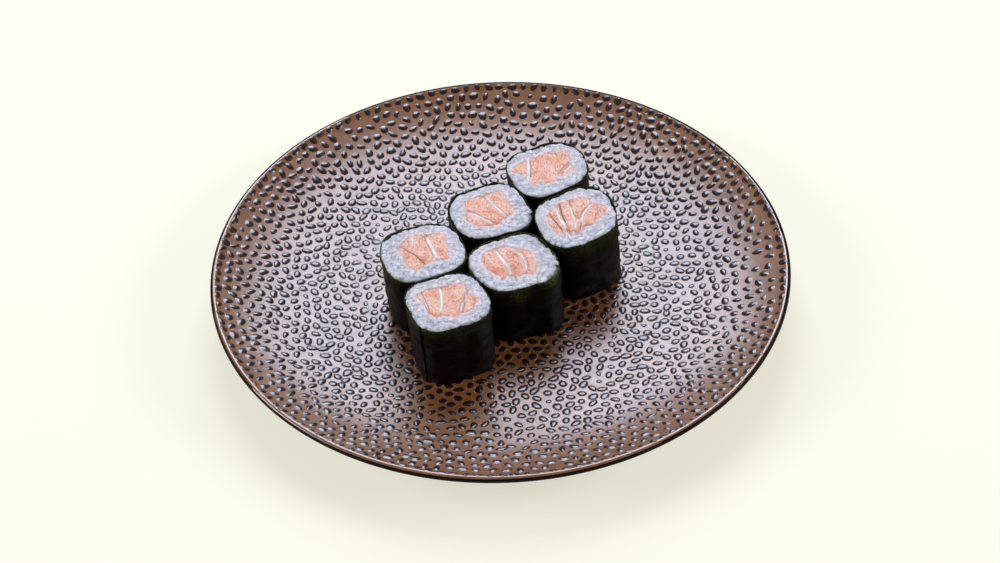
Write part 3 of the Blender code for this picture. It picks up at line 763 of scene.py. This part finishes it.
def filled_strip(node, outline, seed):
    """A frame strip with fine cut faces: a slab with a fine grid for its two faces is cut to the strip's
    outline, then each face is shaped by the salmon's height and rounded off near its edge."""
    low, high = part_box(node)
    columns, rows = (int((high[k] - low[k]) / SALMON_GRID) + 4 for k in (0, 1))
    x = low.x - SALMON_GRID + SALMON_GRID * np.arange(columns)
    y = low.y - SALMON_GRID + SALMON_GRID * np.arange(rows)
    sheet = np.stack(np.meshgrid(x, y, indexing="ij"), axis=-1)
    index = np.arange(columns * rows).reshape(columns, rows)
    quads = np.stack([index[:-1, :-1], index[1:, :-1], index[1:, 1:], index[:-1, 1:]], -1).reshape(-1, 4)
    points = np.concatenate([
        np.concatenate([sheet.reshape(-1, 2), np.full((index.size, 1), level)], axis=1)
        for level in (outline.top, outline.foot)
    ])
    border = np.concatenate([index[:, 0], index[-1, 1:], index[-2::-1, -1], index[0, -2:0:-1]])
    walls = np.stack([border, border + index.size, np.roll(border, -1) + index.size, np.roll(border, -1)], -1)
    slab = bpy.data.meshes.new("slab")
    faces = np.concatenate([quads, quads[:, ::-1] + index.size, walls])
    slab.from_pydata(points, [], faces.tolist())
    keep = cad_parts[node].data.copy()
    stretch = np.zeros(len(keep.vertices) * 3, np.float32)
    keep.vertices.foreach_get("co", stretch)
    stretch[2::3] += np.where(stretch[2::3] > (outline.top + outline.foot) / 2, 1, -1) * MM
    keep.vertices.foreach_set("co", stretch)
    keep_object = bpy.data.objects.new("keep", keep)
    slab_object = bpy.data.objects.new("slab", slab)
    for item in (keep_object, slab_object):
        bpy.context.scene.collection.objects.link(item)
    weld = keep_object.modifiers.new("weld", "WELD")
    weld.merge_threshold = 0.001 * MM
    cut = slab_object.modifiers.new("cut", "BOOLEAN")
    cut.operation, cut.solver, cut.object = "INTERSECT", "EXACT", keep_object
    shaped = bpy.data.meshes.new_from_object(slab_object.evaluated_get(bpy.context.evaluated_depsgraph_get()))
    for item in (keep_object, slab_object):
        bpy.data.objects.remove(item)
    shaped.name = node.replace("salmon", "salmon_strip")
    shaped.materials.clear()
    co = np.zeros(len(shaped.vertices) * 3, np.float32)
    shaped.vertices.foreach_get("co", co)
    co = co.reshape(-1, 3).astype(float)
    local = (co[:, :2] - outline.middle(outline.top)) / MM
    inside = distance_to(co[:, :2], top_edges(node))
    drop = 0.2 * MM * np.exp(-((inside / EDGE_ROUND) ** 2) * 2)
    is_top, is_foot = co[:, 2] > outline.top - 0.01 * MM, co[:, 2] < outline.foot + 0.01 * MM
    co[:, 2] += np.where(is_top, salmon_height(local, seed) - drop, 0) + np.where(is_foot, drop, 0)
    shaped.vertices.foreach_set("co", co.astype(np.float32).ravel())
    mark_points(shaped, "deep", spots_near(local, DEEP_SPOTS[outline.name], 1.3))
    mark_points(shaped, "fat", closeness(local, [line for _, line in FAT_LINES[outline.name]], 1.1))
    mark_points(shaped, "groove_shade", closeness(local, GROOVE_SHADE[outline.name], 0.42))
    mark_points(shaped, "edge", np.exp(-((inside / (0.6 * MM)) ** 2)))
    return shaped


def spots_near(local, spots, reach):
    """1 at each spot, falling as a bell over the reach."""
    apart = np.linalg.norm(local[:, None] - np.array(spots), axis=-1).min(axis=1)
    return np.exp(-((apart / reach) ** 2))


def raw_salmon():
    """Raw salmon muscle, cut across: pale pink-orange, wet, finely grained by its fibres, with paler stuff along the
    fat, brown-red lines of painted shade in the grooves between strips and deeper orange where a strip ends in a
    point."""
    material, place = new_material("raw salmon")
    combed = add(material, "ShaderNodeMapping", {"Vector": place, "Rotation": (0, 0, 0.5), "Scale": (1, 0.55, 1)})
    grain = add(material, "ShaderNodeTexNoise", {"Vector": combed, "Scale": 0.5 / (0.28 * MM), "Detail": 3})
    cloud = add(material, "ShaderNodeTexNoise", {"Vector": place, "Scale": 0.5 / (2.2 * MM), "Detail": 3})
    cloud = add(material, "ShaderNodeMapRange", {"Value": cloud, "From Min": 0.32, "From Max": 0.68})
    tones = {"Factor": cloud, "A": paint("#F0905F"), "B": paint("#FFCCB0")}
    colour = add(material, "ShaderNodeMix", tones, data_type="RGBA")
    for low, high, strength, paler in ((0.52, 0.66, 0.6, "#FFE0D0"), (0.48, 0.34, 0.8, "#CF7548")):
        sockets = {"Value": grain, "From Min": low, "From Max": high, "To Max": strength}
        share = add(material, "ShaderNodeMapRange", sockets)
        colour = add(material, "ShaderNodeMix", {"Factor": share, "A": colour, "B": paint(paler)}, data_type="RGBA")
    # Each mark on the strip, from where it starts to show, how strongly, and what it turns to.
    for mark, low, strength, turned in (
        ("deep", 0.15, 0.85, "#D87338"), ("fat", 0.3, 0.55, "#F5D2C8"),
        # The last mark is painted shade: brown-red lines in the grooves where the strips meet.
        ("edge", 0.2, 0.6, "#FAD6C8"), ("groove_shade", 0.45, 0.75, "#B4664E"),
    ):
        near = add(material, "ShaderNodeAttribute", {}, give="Fac", attribute_name=mark)
        share = add(material, "ShaderNodeMapRange", {"Value": near, "From Min": low, "To Max": strength})
        colour = add(material, "ShaderNodeMix", {"Factor": share, "A": colour, "B": paint(turned)}, data_type="RGBA")
    bump = add(material, "ShaderNodeBump", {"Height": grain, "Distance": 0.09 * MM})
    finish = {
        "Base Color": colour, "Roughness": 0.24, "IOR": 1.42, "Normal": bump,
        "Subsurface Weight": 0.2, "Subsurface Radius": (1.0, 0.45, 0.3), "Subsurface Scale": 0.5 * MM,
    }
    add(material, "ShaderNodeOutputMaterial", {"Surface": add(material, "ShaderNodeBsdfPrincipled", finish)})
    return material


salmon = raw_salmon()
for seed, name in enumerate(NAMES):
    for node in salmon_nodes(name):
        lay(show(filled_strip(node, outlines[name], 700 + 10 * seed), salmon), "salmon", node)


# FAT. White seams of fat run between the muscle's flakes and part the strips. On a cut face each shows as
# a band that tapers away at both ends, a hair proud of the meat. A flat oval section is carried along it.
FAT_PROUD = 0.05 * MM
FAT_DEPTH = 0.5 * MM


def fat_bands(name, seed):
    """The bands on a piece's cut face: along each path a flat oval, its width swelling and shrinking a little
    and closing to a point at both ends."""
    outline = outlines[name]
    along = np.linspace(0, 1, 36)
    taper = np.clip(np.sin(math.pi * (0.04 + 0.92 * along)) * 2.2, 0, 1) ** 0.6
    round_ = np.linspace(0, 2 * math.pi, 10, endpoint=False)
    bands = []
    for number, (width, line) in enumerate(FAT_LINES[name]):
        path = smooth_path(line, 36)
        way = np.gradient(path, axis=0)
        side = np.stack([way[:, 1], -way[:, 0]], axis=1) / np.linalg.norm(way, axis=1)[:, None]
        uneven = 1 + 0.18 * ripple(path, 2.5, seed + number)
        half = 0.64 * width * taper * uneven
        plan = path[:, None] + side[:, None] * (half[:, None] * np.cos(round_))[..., None]
        crown = salmon_height(path, seed)[:, None]
        rise = crown + (FAT_PROUD - FAT_DEPTH) + FAT_DEPTH * np.sin(round_) * taper[:, None]
        height = outline.top + rise
        bands.append(np.concatenate([plan * MM + outline.middle(outline.top), height[..., None]], axis=-1))
    return np.stack(bands)


def salmon_fat():
    """Salmon fat: pinkish white, soft and moist, slightly clear like cold butter."""
    material, place = new_material("salmon fat")
    cloud = add(material, "ShaderNodeTexNoise", {"Vector": place, "Scale": 0.5 / (0.9 * MM)})
    tones = {"Factor": cloud, "A": paint("#FFE9E0"), "B": paint("#FFF9F4")}
    colour = add(material, "ShaderNodeMix", tones, data_type="RGBA")
    finish = {
        "Base Color": colour, "Roughness": 0.22, "IOR": 1.55,
        "Subsurface Weight": 0.3, "Subsurface Radius": (1.0, 0.8, 0.7), "Subsurface Scale": 0.8 * MM,
    }
    add(material, "ShaderNodeOutputMaterial", {"Surface": add(material, "ShaderNodeBsdfPrincipled", finish)})
    return material


fat = salmon_fat()
for seed, name in enumerate(NAMES):
    lay(shells(f"fat_bands_{name}", fat_bands(name, 700 + 10 * seed), fat), "salmon")


# TABLE AND LIGHT. The dish stands on a plain cream sweep. One wide soft window stands behind it, as high as
# the camera looks down, so that the level glaze mirrors it. Two warm lamps stand low on the left and the
# right, where they light the shadows and show in no reflection, and the room is dim.
TABLE_SIZE = 6.0


def cream_sweep():
    """A sheet of cream acrylic lit from below, barely uneven in tone, so that shadows on it stay faint."""
    material, place = new_material("cream light table")
    cloud = add(material, "ShaderNodeTexNoise", {"Vector": place, "Scale": 0.5 / (60 * MM)})
    tones = {"Factor": cloud, "A": paint("#B2B2A6"), "B": paint("#B6B6AA")}
    cream = add(material, "ShaderNodeMix", tones, data_type="RGBA")
    finish = {
        "Base Color": cream, "Roughness": 0.9, "IOR": 1.2,
        "Emission Color": (0.65, 0.635, 0.535, 1), "Emission Strength": 1.0,
    }
    add(material, "ShaderNodeOutputMaterial", {"Surface": add(material, "ShaderNodeBsdfPrincipled", finish)})
    return material


half = TABLE_SIZE / 2
table_mesh = bpy.data.meshes.new("table")
table_mesh.from_pydata([(-half, -half, 0), (half, -half, 0), (half, half, 0), (-half, half, 0)], [], [(0, 1, 2, 3)])
show(table_mesh, cream_sweep())


def soft_panel(name, azimuth, elevation, distance, width, height, power, colour):
    """An area light that faces the dish from an azimuth, 0 behind it and 90 to its right, and an elevation."""
    light = bpy.data.lights.new(name, "AREA")
    light.shape, light.size, light.size_y, light.energy, light.color = "RECTANGLE", width, height, power, colour
    lamp = bpy.data.objects.new(name, light)
    a, e = math.radians(azimuth), math.radians(elevation)
    way = np.array([math.sin(a) * math.cos(e), math.cos(a) * math.cos(e), math.sin(e)])
    lamp.location = way * distance
    lamp.rotation_euler = (math.pi / 2 - e, 0, math.pi - a)
    bpy.context.scene.collection.objects.link(lamp)


soft_panel("window", 0, 46, 1.3, 0.7, 0.95, 12.2, (0.74, 0.82, 1.0))
soft_panel("left lamp", -97, 28, 1.6, 0.9, 0.5, 11, (0.96, 0.96, 1.0))
soft_panel("right lamp", 97, 28, 1.6, 0.9, 0.5, 11, (0.96, 0.96, 1.0))
world = bpy.data.worlds.new("room")
world.use_nodes = True
world.node_tree.nodes["Background"].inputs["Color"].default_value = (1.0, 0.9, 0.78, 1)
world.node_tree.nodes["Background"].inputs["Strength"].default_value = 0.07
bpy.context.scene.world = world
bpy.context.scene.view_settings.view_transform = "Standard"

# The camera looks down at the dish from the diner's side, held a touch off level.
LENS = 100
CAMERA_DISTANCE = 1.0258
LOOK_DOWN = math.radians(43.47)
HELD_TURN = math.radians(-2.46)
AIM = np.array([-0.00019, 0.01029, 0])
back = np.array([0, -math.cos(LOOK_DOWN), math.sin(LOOK_DOWN)])
right, up = np.array([1.0, 0, 0]), np.array([0, math.sin(LOOK_DOWN), math.cos(LOOK_DOWN)])
camera_x = math.cos(HELD_TURN) * right + math.sin(HELD_TURN) * up
camera_y = math.cos(HELD_TURN) * up - math.sin(HELD_TURN) * right
camera = bpy.data.objects.new("camera", bpy.data.cameras.new("camera"))
camera.data.lens = LENS
eye = AIM + back * CAMERA_DISTANCE
camera.matrix_world = Matrix(np.vstack([np.column_stack([camera_x, camera_y, back, eye]), [0, 0, 0, 1]]).tolist())
bpy.context.scene.collection.objects.link(camera)
bpy.context.scene.camera = camera
